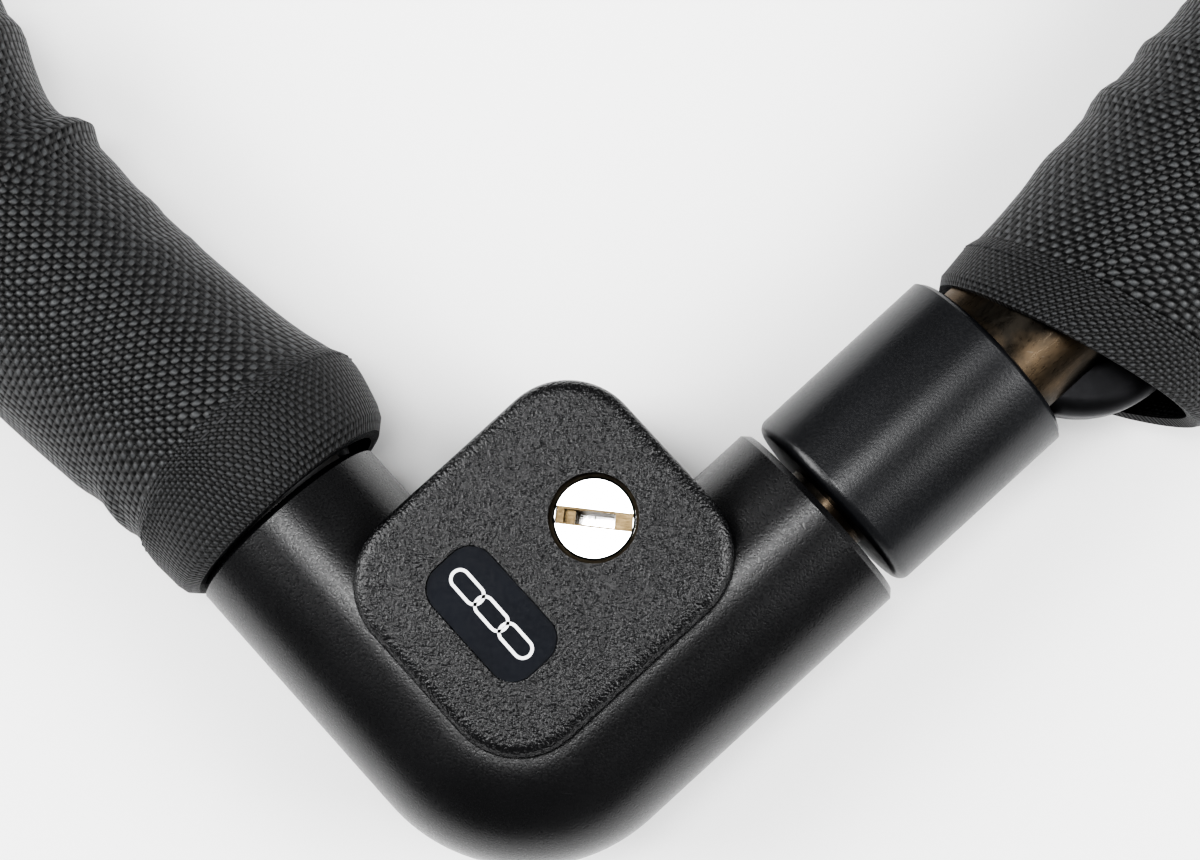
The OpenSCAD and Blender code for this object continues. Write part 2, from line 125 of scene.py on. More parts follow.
def dress(piece: bpy.types.Object, material: bpy.types.Material) -> None:
    """Gives a piece its material.

    Args:
        piece: the object to dress.
        material: its material.
    """
    piece.data.materials.clear()
    piece.data.materials.append(material)


# ---------------------------------------------------------------- shader groups


class GroupMaker:
    """Builds one shader node group with named inputs and outputs."""

    def __init__(self, name: str) -> None:
        """Starts an empty group.

        Args:
            name: the group's name.
        """
        self.tree = bpy.data.node_groups.new(name, "ShaderNodeTree")
        self.ends = (self.tree.nodes.new("NodeGroupInput"), self.tree.nodes.new("NodeGroupOutput"))

    def socket(self, name: str, kind: str, way: str = "INPUT", default: object = None) -> None:
        """Adds a socket.

        Args:
            name: the socket's name.
            kind: Float, Vector or Color.
            way: INPUT or OUTPUT.
            default: its default value.
        """
        made = self.tree.interface.new_socket(name, in_out=way, socket_type=f"NodeSocket{kind}")
        if default is not None:
            made.default_value = default

    def given(self, name: str) -> bpy.types.NodeSocket:
        """The socket that carries an input of the group."""
        return self.ends[0].outputs[name]

    def put(self, name: str, value: bpy.types.NodeSocket) -> None:
        """Sends a value out of the group."""
        self.tree.links.new(value, self.ends[1].inputs[name])

    def node(self, kind: str, values: Optional[dict] = None, **settings: object) -> bpy.types.Node:
        """Adds a node.

        Args:
            kind: the node's type without its ShaderNode prefix.
            values: socket names or numbers to constants or sockets.
            settings: the node's own properties.

        Returns:
            The new node.
        """
        return add_node(self.tree, kind, values, **settings)

    def math(self, operation: str, *values: object) -> bpy.types.NodeSocket:
        """A Math node's result."""
        return self.node("Math", dict(enumerate(values)), operation=operation).outputs[0]


def add_node(tree: bpy.types.NodeTree, kind: str, values: Optional[dict] = None,
             **settings: object) -> bpy.types.Node:
    """Adds a shader node and fills its sockets.

    Args:
        tree: the tree it goes in.
        kind: the node's type without its ShaderNode prefix.
        values: socket names or numbers to constants or sockets.
        settings: the node's own properties.

    Returns:
        The new node.
    """
    made = tree.nodes.new(f"ShaderNode{kind}")
    for name, value in settings.items():
        setattr(made, name, value)
    for name, value in (values or {}).items():
        if isinstance(value, bpy.types.NodeSocket):
            tree.links.new(value, made.inputs[name])
        else:
            made.inputs[name].default_value = value
    return made


class Effects:
    """The shader groups that several finishes share, each built once."""

    def __init__(self) -> None:
        """Builds every group."""
        self.grain = self._grain()
        self.wear = self._wear()
        self.weave = self._weave()
        self.drawn = self._drawn()

    @staticmethod
    def _grain() -> bpy.types.NodeTree:
        """Moulded grain: small rounded pits and a slow mottle.

        Returns:
            The group, with Height and Mottle.
        """
        g = GroupMaker("moulded_grain")
        g.socket("Vector", "Vector")
        g.socket("Cell", "Float", default=0.0004)
        for name in ("Height", "Mottle"):
            g.socket(name, "Float", "OUTPUT")
        scale = g.math("DIVIDE", 1.0, g.given("Cell"))
        fine = g.node("TexNoise", {"Vector": g.given("Vector"), "Scale": scale, "Detail": 2.0,
                                   "Roughness": 0.55})
        pits = g.node("TexVoronoi", {"Vector": g.given("Vector"), "Scale": scale, "Randomness": 1.0},
                      feature="SMOOTH_F1")
        broad = g.node("TexNoise", {"Vector": g.given("Vector"), "Scale": 90.0, "Detail": 3.0})
        bumps = g.math("SUBTRACT", fine.outputs[0], g.math("MULTIPLY", pits.outputs["Distance"], 0.5))
        g.put("Height", bumps)
        g.put("Mottle", broad.outputs[0])
        return g.tree

    @staticmethod
    def _wear() -> bpy.types.NodeTree:
        """Handling wear: short scuffs and hairline scratches.

        Returns:
            The group, with Scuffs and Scratches.
        """
        g = GroupMaker("handling_wear")
        g.socket("Vector", "Vector")
        g.socket("Amount", "Float", default=0.5)
        g.socket("Scuffs", "Float", "OUTPUT")
        g.socket("Scratches", "Float", "OUTPUT")
        patch = g.node("TexNoise", {"Vector": g.given("Vector"), "Scale": 60.0, "Detail": 4.0,
                                    "Roughness": 0.6})
        edge = g.node("MapRange", {0: patch.outputs[0], 1: 0.56, 2: 0.72, 3: 0.0, 4: 1.0})
        g.put("Scuffs", g.math("MULTIPLY", edge.outputs[0], g.given("Amount")))
        turned = g.node("Mapping", {"Vector": g.given("Vector"), "Rotation": (0.3, 0.2, 0.7),
                                    "Scale": (1.0, 14.0, 6.0)})
        lines = g.node("TexNoise", {"Vector": turned.outputs[0], "Scale": 160.0, "Detail": 2.0})
        hair = g.node("MapRange", {0: lines.outputs[0], 1: 0.68, 2: 0.76, 3: 0.0, 4: 1.0})
        kept = g.node("MapRange", {0: patch.outputs[0], 1: 0.5, 2: 0.6, 3: 0.0, 4: 1.0})
        seen = g.math("MULTIPLY", hair.outputs[0], kept.outputs[0])
        g.put("Scratches", g.math("MULTIPLY", seen, g.given("Amount")))
        return g.tree

    @staticmethod
    def _drawn() -> bpy.types.NodeTree:
        """Lines left by drawing or turning metal.

        Returns:
            The group, with Lines and Stain.
        """
        g = GroupMaker("drawn_metal")
        g.socket("Vector", "Vector")
        g.socket("Stretch", "Vector", default=(1.0, 1.0, 1.0))
        g.socket("Lines", "Float", "OUTPUT")
        g.socket("Stain", "Float", "OUTPUT")
        long = g.node("VectorMath", {0: g.given("Vector"), 1: g.given("Stretch")}, operation="MULTIPLY")
        lines = g.node("TexNoise", {"Vector": long.outputs[0], "Scale": 900.0, "Detail": 3.0,
                                    "Roughness": 0.6})
        stain = g.node("TexNoise", {"Vector": g.given("Vector"), "Scale": 130.0, "Detail": 4.0})
        g.put("Lines", lines.outputs[0])
        g.put("Stain", stain.outputs[0])
        return g.tree

    @staticmethod
    def _weave() -> bpy.types.NodeTree:
        """Plain weave, in thread units: each crossing shows one thread over the other.

        Returns:
            The group, with Height, Float (the crowns of the threads that lie across on top, where the cloth
            paints its highlight), the valley mask (the low ground between the crowns, where the cloth paints
            shade) and Fibre.
        """
        g = GroupMaker("plain_weave")
        g.socket("Threads", "Vector")
        g.socket("Irregular", "Float", default=0.12)
        for name in ("Height", "Float", "ValleyShade", "Fibre"):
            g.socket(name, "Float", "OUTPUT")
        wander = g.node("TexNoise", {"Vector": g.given("Threads"), "Scale": 0.35, "Detail": 2.0})
        shift = g.node("VectorMath", {0: wander.outputs["Color"], 1: (0.5, 0.5, 0.5)}, operation="SUBTRACT")
        moved = g.node("VectorMath", {0: shift.outputs[0], "Scale": g.given("Irregular")}, operation="SCALE")
        at = g.node("VectorMath", {0: g.given("Threads"), 1: moved.outputs[0]}, operation="ADD")
        split = g.node("SeparateXYZ", {0: at.outputs[0]})
        along, across = split.outputs[0], split.outputs[1]

        def thread(run: bpy.types.NodeSocket, side: bpy.types.NodeSocket,
                   sign: float) -> bpy.types.NodeSocket:
            """Height of the threads that run one way.

            Args:
                run: coordinate along the thread.
                side: coordinate across it.
                sign: +1 where the thread starts on top, -1 where it starts below.

            Returns:
                The thread's height.
            """
            index = g.math("FLOOR", side)
            phase = g.math("MULTIPLY", g.math("ADD", g.math("SUBTRACT", run, 0.5), index), math.pi)
            lift = g.math("MULTIPLY", g.math("COSINE", phase), 0.5 * sign)
            middle = g.math("SUBTRACT", g.math("MULTIPLY", g.math("FRACT", side), 2.0), 1.0)
            square = g.math("SUBTRACT", 1.0, g.math("MULTIPLY", middle, middle))
            section = g.math("SQRT", g.math("MAXIMUM", square, 0.0))
            return g.math("ADD", lift, g.math("MULTIPLY", section, 0.7))

        warp = thread(along, across, 1.0)
        weft = thread(across, along, -1.0)
        top = g.math("SMOOTH_MAX", warp, weft, 0.08)
        over = g.node("MapRange", {0: g.math("SUBTRACT", weft, warp), 1: -0.05, 2: 0.35, 3: 0.0, 4: 1.0})
        crown = g.node("MapRange", {0: top, 1: 0.55, 2: 1.15, 3: 0.0, 4: 1.0})
        fibres = g.node("TexNoise", {"Vector": at.outputs[0], "Scale": 9.0, "Detail": 2.0})
        g.put("Height", top)
        # mask of the crowns of the top threads, which the cloth lightens as a painted highlight
        g.put("Float", g.math("MULTIPLY", over.outputs[0], crown.outputs[0]))
        # mask of the low ground between the crowns, which the cloth darkens as painted shade
        g.put("ValleyShade", g.math("SUBTRACT", 1.0, crown.outputs[0]))
        g.put("Fibre", fibres.outputs[0])
        return g.tree


class Shader:
    """One material under construction, round a Principled BSDF."""

    def __init__(self, name: str, **constants: object) -> None:
        """Starts a material.

        Args:
            name: the material's name.
            constants: values set on the Principled BSDF's own sockets, with _ for a space.
        """
        self.material = bpy.data.materials.new(name)
        self.material.use_nodes = True
        self.tree = self.material.node_tree
        self.bsdf = self.tree.nodes["Principled BSDF"]
        for key, value in constants.items():
            self.bsdf.inputs[key.replace("_", " ")].default_value = value
        self.place = add_node(self.tree, "TexCoord").outputs["Object"]

    def group(self, group: bpy.types.NodeTree, **values: object) -> bpy.types.Node:
        """Places a shared group.

        Args:
            group: the group.
            values: its inputs.

        Returns:
            The group's node.
        """
        made = self.tree.nodes.new("ShaderNodeGroup")
        made.node_tree = group
        for name, value in values.items():
            if isinstance(value, bpy.types.NodeSocket):
                self.tree.links.new(value, made.inputs[name])
            else:
                made.inputs[name].default_value = value
        return made

    def range(self, value: bpy.types.NodeSocket, low: float, high: float,
              start: float = 0.0, end: float = 1.0) -> bpy.types.NodeSocket:
        """Maps a value from start..end to low..high.

        Args:
            value: what is mapped.
            low: result at start.
            high: result at end.
            start: value that gives low.
            end: value that gives high.

        Returns:
            The mapped value.
        """
        return add_node(self.tree, "MapRange", {0: value, 1: start, 2: end, 3: low, 4: high}).outputs[0]

    def mix(self, factor: bpy.types.NodeSocket, first: object, second: object) -> bpy.types.NodeSocket:
        """Mixes two colours.

        Args:
            factor: 0 gives the first and 1 the second.
            first: a colour or a socket.
            second: a colour or a socket.

        Returns:
            The mixed colour.
        """
        made = add_node(self.tree, "Mix", {0: factor, 6: first, 7: second}, data_type="RGBA")
        return made.outputs[2]

    def feed(self, **values: bpy.types.NodeSocket) -> None:
        """Links values to the Principled BSDF, with _ for a space."""
        for name, value in values.items():
            self.tree.links.new(value, self.bsdf.inputs[name.replace("_", " ")])

    def bump(self, height: bpy.types.NodeSocket, depth: float) -> bpy.types.NodeSocket:
        """A Bump node.

        Args:
            height: the height, from 0 to 1.
            depth: how deep 1 is, in metres.

        Returns:
            The bumped normal.
        """
        made = add_node(self.tree, "Bump", {"Height": height, "Distance": depth, "Strength": 1.0})
        return made.outputs[0]


def colour(red: float, green: float, blue: float) -> tuple:
    """A shader colour."""
    return (red, green, blue, 1.0)


# ---------------------------------------------------------------- finishes


@dataclass(frozen=True)
class Plastic:
    """Moulded plastic with a grain."""

    name: str
    tint: tuple
    roughness: float
    cell: float
    depth: float
    sparkle: float = 0.1
    wear: float = 0.5
    shine: float = 0.4

    def build(self, effects: Effects) -> bpy.types.Material:
        """Makes the material.

        Args:
            effects: the shared shader groups.

        Returns:
            The material.
        """
        s = Shader(self.name, Specular_IOR_Level=self.shine, IOR=1.5)
        grain = s.group(effects.grain, Vector=s.place, Cell=self.cell)
        wear = s.group(effects.wear, Vector=s.place, Amount=self.wear)
        pale = tuple(1.6 * c + 0.003 for c in self.tint)
        base = s.mix(s.range(grain.outputs["Mottle"], 0.0, 0.5, 0.35, 0.7),
                     colour(*self.tint), colour(*pale))
        worn = s.mix(wear.outputs["Scratches"], base, colour(*(2.0 * c + 0.012 for c in self.tint)))
        rough = s.range(grain.outputs["Height"], self.roughness - self.sparkle,
                        self.roughness + self.sparkle, 0.1, 0.6)
        scuffed = add_node(s.tree, "Math", {0: rough, 1: s.range(wear.outputs["Scuffs"], 0.0, 0.1)},
                           operation="ADD")
        s.feed(Base_Color=worn, Roughness=scuffed.outputs[0],
               Normal=s.bump(grain.outputs["Height"], self.depth))
        return s.material


@dataclass(frozen=True)
class Metal:
    """Bare, plated or blackened metal."""

    name: str
    tint: tuple
    stain: tuple
    roughness: float
    stretch: tuple = (1.0, 1.0, 12.0)
    line_depth: float = 0.00001
    wear: float = 0.4

    def build(self, effects: Effects) -> bpy.types.Material:
        """Makes the material.

        Args:
            effects: the shared shader groups.

        Returns:
            The material.
        """
        s = Shader(self.name, Metallic=1.0, Specular_IOR_Level=0.5)
        drawn = s.group(effects.drawn, Vector=s.place, Stretch=self.stretch)
        wear = s.group(effects.wear, Vector=s.place, Amount=self.wear)
        base = s.mix(s.range(drawn.outputs["Stain"], 0.0, 1.0, 0.38, 0.68),
                     colour(*self.tint), colour(*self.stain))
        bright = tuple(min(1.0, 1.5 * c + 0.12) for c in self.tint)
        scratched = s.mix(wear.outputs["Scratches"], base, colour(*bright))
        rough = s.range(drawn.outputs["Lines"], self.roughness - 0.06, self.roughness + 0.1, 0.3, 0.7)
        s.feed(Base_Color=scratched, Roughness=rough, Normal=s.bump(drawn.outputs["Lines"], self.line_depth))
        return s.material


@dataclass(frozen=True)
class Rubber:
    """Matt moulded rubber."""

    name: str
    tint: tuple
    roughness: float = 0.7

    def build(self, effects: Effects) -> bpy.types.Material:
        """Makes the material.

        Args:
            effects: the shared shader groups.

        Returns:
            The material.
        """
        s = Shader(self.name, Specular_IOR_Level=0.35)
        grain = s.group(effects.grain, Vector=s.place, Cell=0.0008)
        dusty = tuple(c + 0.05 for c in self.tint)
        base = s.mix(s.range(grain.outputs["Mottle"], 0.0, 0.5, 0.4, 0.75),
                     colour(*self.tint), colour(*dusty))
        rough = s.range(grain.outputs["Mottle"], self.roughness - 0.08, self.roughness + 0.12)
        s.feed(Base_Color=base, Roughness=rough, Normal=s.bump(grain.outputs["Height"], 0.00003))
        return s.material


@dataclass(frozen=True)
class WovenCloth:
    """Plain-woven nylon, laid out by the piece's own thread map, with a painted highlight on the crowns of
    its top threads and painted shade in the valleys between them.
    """

    name: str
    dark: tuple
    # the lighter colour painted on the thread crowns as a highlight
    crown_highlight: tuple
    roughness: float
    thread: float
    irregular: float = 0.12

    def build(self, effects: Effects) -> bpy.types.Material:
        """Makes the material.

        Args:
            effects: the shared shader groups.

        Returns:
            The material.
        """
        s = Shader(self.name, Specular_IOR_Level=0.3, Sheen_Weight=0.02, Sheen_Roughness=0.4)
        s.bsdf.inputs["Sheen Tint"].default_value = colour(0.6, 0.62, 0.66)
        threads = add_node(s.tree, "UVMap", uv_map=THREAD_MAP).outputs[0]
        weave = s.group(effects.weave, Threads=threads, Irregular=self.irregular)
        grain = s.group(effects.grain, Vector=s.place, Cell=0.004)
        shade = s.range(weave.outputs["Fibre"], 0.55, 1.0, 0.3, 0.7)
        # painted highlight: the crowns of the threads that lie on top take the lighter colour
        lit = add_node(s.tree, "Math", {0: weave.outputs["Float"], 1: shade}, operation="MULTIPLY").outputs[0]
        base = s.mix(lit, colour(*self.dark), colour(*self.crown_highlight))
        dull = tuple(0.6 * c + 0.002 for c in self.crown_highlight)
        uneven = s.mix(s.range(grain.outputs["Mottle"], 0.0, 0.2, 0.45, 0.8), base, colour(*dull))
        # painted shade: the valleys between the threads are darkened
        valley_shaded = s.mix(weave.outputs["ValleyShade"], uneven, colour(*(0.35 * c for c in self.dark)))
        rough = s.range(weave.outputs["Fibre"], self.roughness - 0.08, self.roughness + 0.12)
        height = s.bump(weave.outputs["Height"], self.thread * 0.4)
        s.feed(Base_Color=valley_shaded, Roughness=rough, Normal=height)
        return s.material


@dataclass(frozen=True)
class Print:
    """White printed or inlaid mark."""

    name: str
    tint: tuple

    def build(self, effects: Effects) -> bpy.types.Material:
        """Makes the material.

        Args:
            effects: the shared shader groups.

        Returns:
            The material.
        """
        s = Shader(self.name, Specular_IOR_Level=0.4)
        grain = s.group(effects.grain, Vector=s.place, Cell=0.0006)
        dull = tuple(0.75 * c for c in self.tint)
        s.feed(Base_Color=s.mix(s.range(grain.outputs["Mottle"], 0.0, 0.5, 0.4, 0.7),
                                colour(*self.tint), colour(*dull)),
               Roughness=s.range(grain.outputs["Mottle"], 0.4, 0.6),
               Normal=s.bump(grain.outputs["Height"], 0.00001))
        return s.material


THREAD_MAP = "threads"


class Finish(Enum):
    """Every finish on the lock, each with its recipe."""

    SHELL = Plastic("shell_plastic", (0.0025, 0.0025, 0.003), 0.31, 0.00026, 0.000022, 0.06)
    CAP = Plastic("cap_plastic", (0.003, 0.003, 0.0035), 0.24, 0.00036, 0.00016, 0.10, 0.3, 0.4)
    COLLAR = Plastic("collar_plastic", (0.0025, 0.0028, 0.0038), 0.34, 0.0003, 0.000014, 0.05, 0.6)
    BADGE = Plastic("badge_enamel", (0.002, 0.003, 0.006), 0.42, 0.0005, 0.000005, 0.04, 0.2, 0.1)
    LOCK_STEEL = Metal("lock_steel", (0.20, 0.20, 0.205), (0.13, 0.125, 0.12), 0.42)
    BRASS = Metal("barrel_brass", (0.024, 0.020, 0.014), (0.012, 0.010, 0.008), 0.5)
    WAFER = Metal("wafer_brass", (0.13, 0.095, 0.05), (0.05, 0.036, 0.02), 0.34, (1.0, 8.0, 8.0))
    CHROME = Metal("plug_chrome", (0.93, 0.93, 0.94), (0.86, 0.86, 0.86), 0.12,
                   (3.0, 1.0, 1.0), 0.000003, 0.3)
    SPRING = Metal("spring_wire", (0.62, 0.62, 0.64), (0.5, 0.5, 0.5), 0.3)
    BOLT = Metal("bolt_gunmetal", (0.026, 0.023, 0.019), (0.085, 0.062, 0.04), 0.30,
                 (1.0, 1.0, 10.0), 0.000008, 0.9)
    CHAIN = Metal("chain_blackened", (0.030, 0.030, 0.032), (0.018, 0.018, 0.019), 0.45)
    SCREW = Metal("screw_zinc", (0.55, 0.55, 0.57), (0.42, 0.42, 0.43), 0.34)
    SEAL = Rubber("seal_rubber", (0.006, 0.006, 0.006))
    # each cloth's third colour is the highlight painted on its thread crowns
    SLEEVE = WovenCloth("sleeve_nylon", (0.0018, 0.0018, 0.002), (0.050, 0.052, 0.054), 0.48, 0.001, 0.5)
    HEM = WovenCloth("hem_tape", (0.0018, 0.0018, 0.002), (0.030, 0.031, 0.033), 0.52, 0.0006, 0.2)
    THREAD = Rubber("sewing_thread", (0.008, 0.008, 0.009), 0.6)
    MARK = Print("badge_mark", (0.85, 0.85, 0.86))


class Wardrobe:
    """Makes each finish the first time it is asked for."""

    def __init__(self) -> None:
        """Starts with the shared effects and no finish."""
        self.effects = Effects()
        self.made: dict = {}

    def get(self, finish: Finish) -> bpy.types.Material:
        """The material of a finish."""
        if finish not in self.made:
            self.made[finish] = finish.value.build(self.effects)
        return self.made[finish]


# ---------------------------------------------------------------- studio


@dataclass
class Studio:
    """Camera, floor and lights.

    Lengths are in metres and angles in degrees; the lens and its sensor are in millimetres.
    """

    target: tuple = (0.00525, 0.01824, 0.016)
    distance: float = 0.300
    azimuth: float = 30.0
    elevation: float = 84.04
    roll: float = -27.43
    lens: float = 71.07
    sensor: float = 36.0

    def camera(self) -> bpy.types.Object:
        """Places the camera and makes it the scene's.

        Returns:
            The camera.
        """
        data = bpy.data.cameras.new("camera")
        data.sensor_width = self.sensor
        data.lens = self.lens
        data.clip_start = 0.01
        made = bpy.data.objects.new("camera", data)
        bpy.context.scene.collection.objects.link(made)
        a, e = math.radians(self.azimuth), math.radians(self.elevation)
        back = Vector((math.cos(e) * math.sin(a), -math.cos(e) * math.cos(a), math.sin(e)))
        made.location = Vector(self.target) + back * self.distance
        made.rotation_mode = "QUATERNION"
        made.rotation_quaternion = (Quaternion(back, math.radians(self.roll))
                                    @ (-back).to_track_quat("-Z", "Y"))
        bpy.context.scene.camera = made
        return made

    def lamp(self, name: str, place: tuple, aim: tuple, size: tuple, power: float) -> None:
        """Adds a soft rectangular lamp.

        Args:
            name: the lamp's name.
            place: where it stands.
            aim: the point that it faces.
            size: its two sides.
            power: watts.
        """
        data = bpy.data.lights.new(name, "AREA")
        data.shape = "RECTANGLE"
        data.size, data.size_y = size
        data.energy = power
        made = bpy.data.objects.new(name, data)
        made.location = place
        made.rotation_mode = "QUATERNION"
        made.rotation_quaternion = (Vector(aim) - Vector(place)).to_track_quat("-Z", "Y")
        bpy.context.scene.collection.objects.link(made)

    def build(self) -> None:
        """Sets up the camera, the floor, the sky and the lamps."""
        self.camera()
        floor = mesh_object("studio_floor", np.array([(-3, -3, 0), (3, -3, 0), (3, 3, 0), (-3, 3, 0)], float),
                            [(0, 1, 2, 3)], smooth=False)
        paper = Shader("studio_paper", Roughness=0.9, Specular_IOR_Level=0.1)
        paper.bsdf.inputs["Base Color"].default_value = colour(0.92, 0.92, 0.92)
        dress(floor, paper.material)
        world = bpy.data.worlds.new("studio_sky")
        world.use_nodes = True
        world.node_tree.nodes["Background"].inputs[0].default_value = colour(1.0, 1.0, 1.0)
        world.node_tree.nodes["Background"].inputs[1].default_value = 0.38
        bpy.context.scene.world = world
        bpy.context.scene.view_settings.look = "AgX - High Contrast"
        aim = (0.0, 0.0, 0.02)
        self.lamp("overhead_box", (-0.02, 0.05, 0.62), aim, (0.20, 0.20), 0.7)
        self.lamp("small_box", (-0.03, 0.04, 0.62), aim, (0.10, 0.10), 0.6)
        self.lamp("leg_box", (-0.14, 0.02, 0.62), aim, (0.09, 0.09), 0.5)
        self.lamp("left_box", (-0.55, 0.12, 0.42), aim, (0.5, 0.5), 7.5)
        self.lamp("right_box", (0.55, 0.05, 0.42), aim, (0.5, 0.5), 7.5)
        log.info("studio built")


# ---------------------------------------------------------------- hard parts


@dataclass
class HardParts:
    """The frame's own nodes: casing, cylinder, mechanism, bolt and chain."""

    nodes: dict
    wardrobe: Wardrobe
    finishes: dict = field(default_factory=lambda: {
        Finish.SHELL: ("front_shell", "rear_shell"),
        Finish.CAP: ("face_cap",),
        Finish.BADGE: ("badge_plate",),
        Finish.LOCK_STEEL: ("lock_body", "drive_cam", "locking_slide", "mechanism_plate"),
        Finish.BRASS: ("cylinder_barrel",),
        Finish.CHROME: ("cylinder_plug",),
        Finish.WAFER: ("wafers",),
        Finish.SPRING: ("wafer_springs", "plug_clip", "slide_spring"),
        Finish.BOLT: ("bolt",),
        Finish.COLLAR: ("bolt_collar",),
        Finish.SEAL: ("socket_seal",),
        Finish.SCREW: ("cam_screw", "plate_screws", "shell_screws"),
        Finish.CHAIN: ("anchor_pin", "link_pin"),
    })

    def build(self) -> None:
        """Dresses every hard node."""
        for finish, names in self.finishes.items():
            for name in names:
                dress(self.nodes[name], self.wardrobe.get(finish))
        for name, node in self.nodes.items():
            if name.startswith("chain_link_"):
                dress(node, self.wardrobe.get(Finish.CHAIN))
            if name.startswith("sleeve_"):
                dress(node, self.wardrobe.get(Finish.SLEEVE))
        log.info("%d hard nodes dressed", len(self.nodes))


@dataclass
class BadgeMark:
    """A plain chain-link sign inlaid in the badge: a row of outlined rings."""

    wardrobe: Wardrobe
    rings: int = 3
    pitch: float = 4.3 * MM
    half_length: float = 2.6 * MM
    half_width: float = 1.35 * MM
    line: float = 0.42 * MM
    stand: float = 0.05 * MM
    facing: float = 135.0

    def ring(self, centre: np.ndarray, along: np.ndarray, across: np.ndarray, offset: int) -> tuple:
        """One flat ring with rounded ends.

        Args:
            centre: its centre, on the badge's face.
            along: unit vector along it.
            across: unit vector across it.
            offset: number of the first vertex.

        Returns:
            Its vertices and faces.
        """
        steps = 40
        vertices, faces = [], []
        for n in range(steps):
            a = 2 * math.pi * n / steps
            for radius in (self.half_width, self.half_width - self.line):
                straight = self.half_length - self.half_width
                x = radius * math.cos(a) + math.copysign(straight, math.cos(a))
                flat = centre + along * x + across * radius * math.sin(a)
                vertices += [flat - np.array([0, 0, self.stand]), flat + np.array([0, 0, self.stand])]
        for n in range(steps):
            p, q = offset + 4 * n, offset + 4 * ((n + 1) % steps)
            faces += [(p + 1, q + 1, q + 3, p + 3), (p, q, q + 1, p + 1), (p + 3, q + 3, q + 2, p + 2),
                      (p + 2, q + 2, q, p)]
        return vertices, faces

    def build(self) -> None:
        """Builds the row of rings and fixes it to the lock."""
        low, high = (np.array(c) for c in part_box("badge_plate"))
        centre = (low + high) / 2
        centre[2] = high[2]
        along, across = direction(self.facing), direction(self.facing - 90)
        vertices, faces = [], []
        for n in range(self.rings):
            middle = centre + along * (n - (self.rings - 1) / 2) * self.pitch
            more = self.ring(middle, along, across, len(vertices))
            vertices += more[0]
            faces += more[1]
        mark = mesh_object("badge_mark", np.array(vertices), faces, smooth=False)
        dress(mark, self.wardrobe.get(Finish.MARK))
        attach(mark, "lock")
        log.info("badge mark built")


# ---------------------------------------------------------------- sleeve


@dataclass
class Route:
    """The sleeve's centre line, from the rim of the chain leg round to the open mouth."""

    joints: list
    leg_turn: float = 135.0
    overlap: float = 11.0 * MM
    mouth: float = 6.2 * MM
    step: float = 0.5 * MM
    soften: float = 7.0 * MM

    def __post_init__(self) -> None:
        """Reads the pivots from the frame and smooths the line through them."""
        place = {j["name"]: np.array(j["pos_m"], float) for j in self.joints if "pos_m" in j}
        self.pivots = [place[f"chain_hinge_{i:02d}"] for i in range(1, 9)]
        low, high = (np.array(c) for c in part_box("chain_link_08"))
        self.pivots.append(low + high - self.pivots[-1])
        self.pivots += [place[f"chain_hinge_{i:02d}"] for i in range(9, 18)]
        start = self.pivots[0] - direction(self.leg_turn) * self.overlap
        last = self.pivots[-1] - self.pivots[-2]
        end = self.pivots[-1] + last / np.linalg.norm(last) * self.mouth
        corners = np.array([start, *self.pivots, end])
        knots = np.concatenate([[0.0], np.cumsum(np.linalg.norm(np.diff(corners, axis=0), axis=1))])
        self.length = float(knots[-1])
        self.pivot_at = knots[1:-1]
        raw = np.arange(-60 * MM, self.length + 60 * MM, self.step)
        line = np.stack([np.interp(raw, knots, corners[:, k]) for k in range(3)], 1)
        before, after = raw < 0, raw > self.length
        line[before] += np.outer(raw[before], direction(self.leg_turn))
        line[after] += np.outer(raw[after] - self.length, last / np.linalg.norm(last))
        reach = int(3 * self.soften / self.step)
        bell = np.exp(-0.5 * (np.arange(-reach, reach + 1) * self.step / self.soften) ** 2)
        bell /= bell.sum()
        self.at = raw[reach:-reach]
        self.line = np.stack([np.convolve(line[:, k], bell, "valid") for k in range(3)], 1)

    def point(self, s: np.ndarray) -> np.ndarray:
        """Points of the centre line at distances s."""
        return np.stack([np.interp(s, self.at, self.line[:, k]) for k in range(3)], -1)

    def tangent(self, s: np.ndarray) -> np.ndarray:
        """Unit tangents of the centre line at distances s."""
        d = self.point(s + self.step) - self.point(s - self.step)
        return d / np.linalg.norm(d, axis=-1, keepdims=True)

    def curvature(self, s: np.ndarray) -> np.ndarray:
        """Turn per metre at distances s: positive where the line turns left."""
        gap = 3 * MM
        a, b = self.tangent(s - gap), self.tangent(s + gap)
        return (a[..., 0] * b[..., 1] - a[..., 1] * b[..., 0]) / (2 * gap)


def soft_noise(x: np.ndarray, y: np.ndarray, seed: int) -> np.ndarray:
    """Smooth noise from -1 to 1 on a grid of unit cells that repeats every 64 cells.

    Args:
        x: first coordinate.
        y: second coordinate.
        seed: which noise.

    Returns:
        The noise at each point.
    """
    table = np.random.default_rng(SEED + seed).uniform(-1, 1, (64, 64))
    xi, yi = np.floor(x).astype(int), np.floor(y).astype(int)
    fx, fy = x - xi, y - yi
    fx, fy = fx * fx * (3 - 2 * fx), fy * fy * (3 - 2 * fy)
    corner = [table[(xi + i) % 64, (yi + j) % 64] for i in (0, 1) for j in (0, 1)]
    return (corner[0] * (1 - fx) * (1 - fy) + corner[1] * (1 - fx) * fy
            + corner[2] * fx * (1 - fy) + corner[3] * fx * fy)


@dataclass(frozen=True)
class Swell:
    """A place where the cloth stands out from the plain tube, or draws in. All in millimetres."""

    place: float
    reach: float
    left: float = 0.0
    right: float = 0.0
    height: float = 0.0
    from_mouth: bool = False


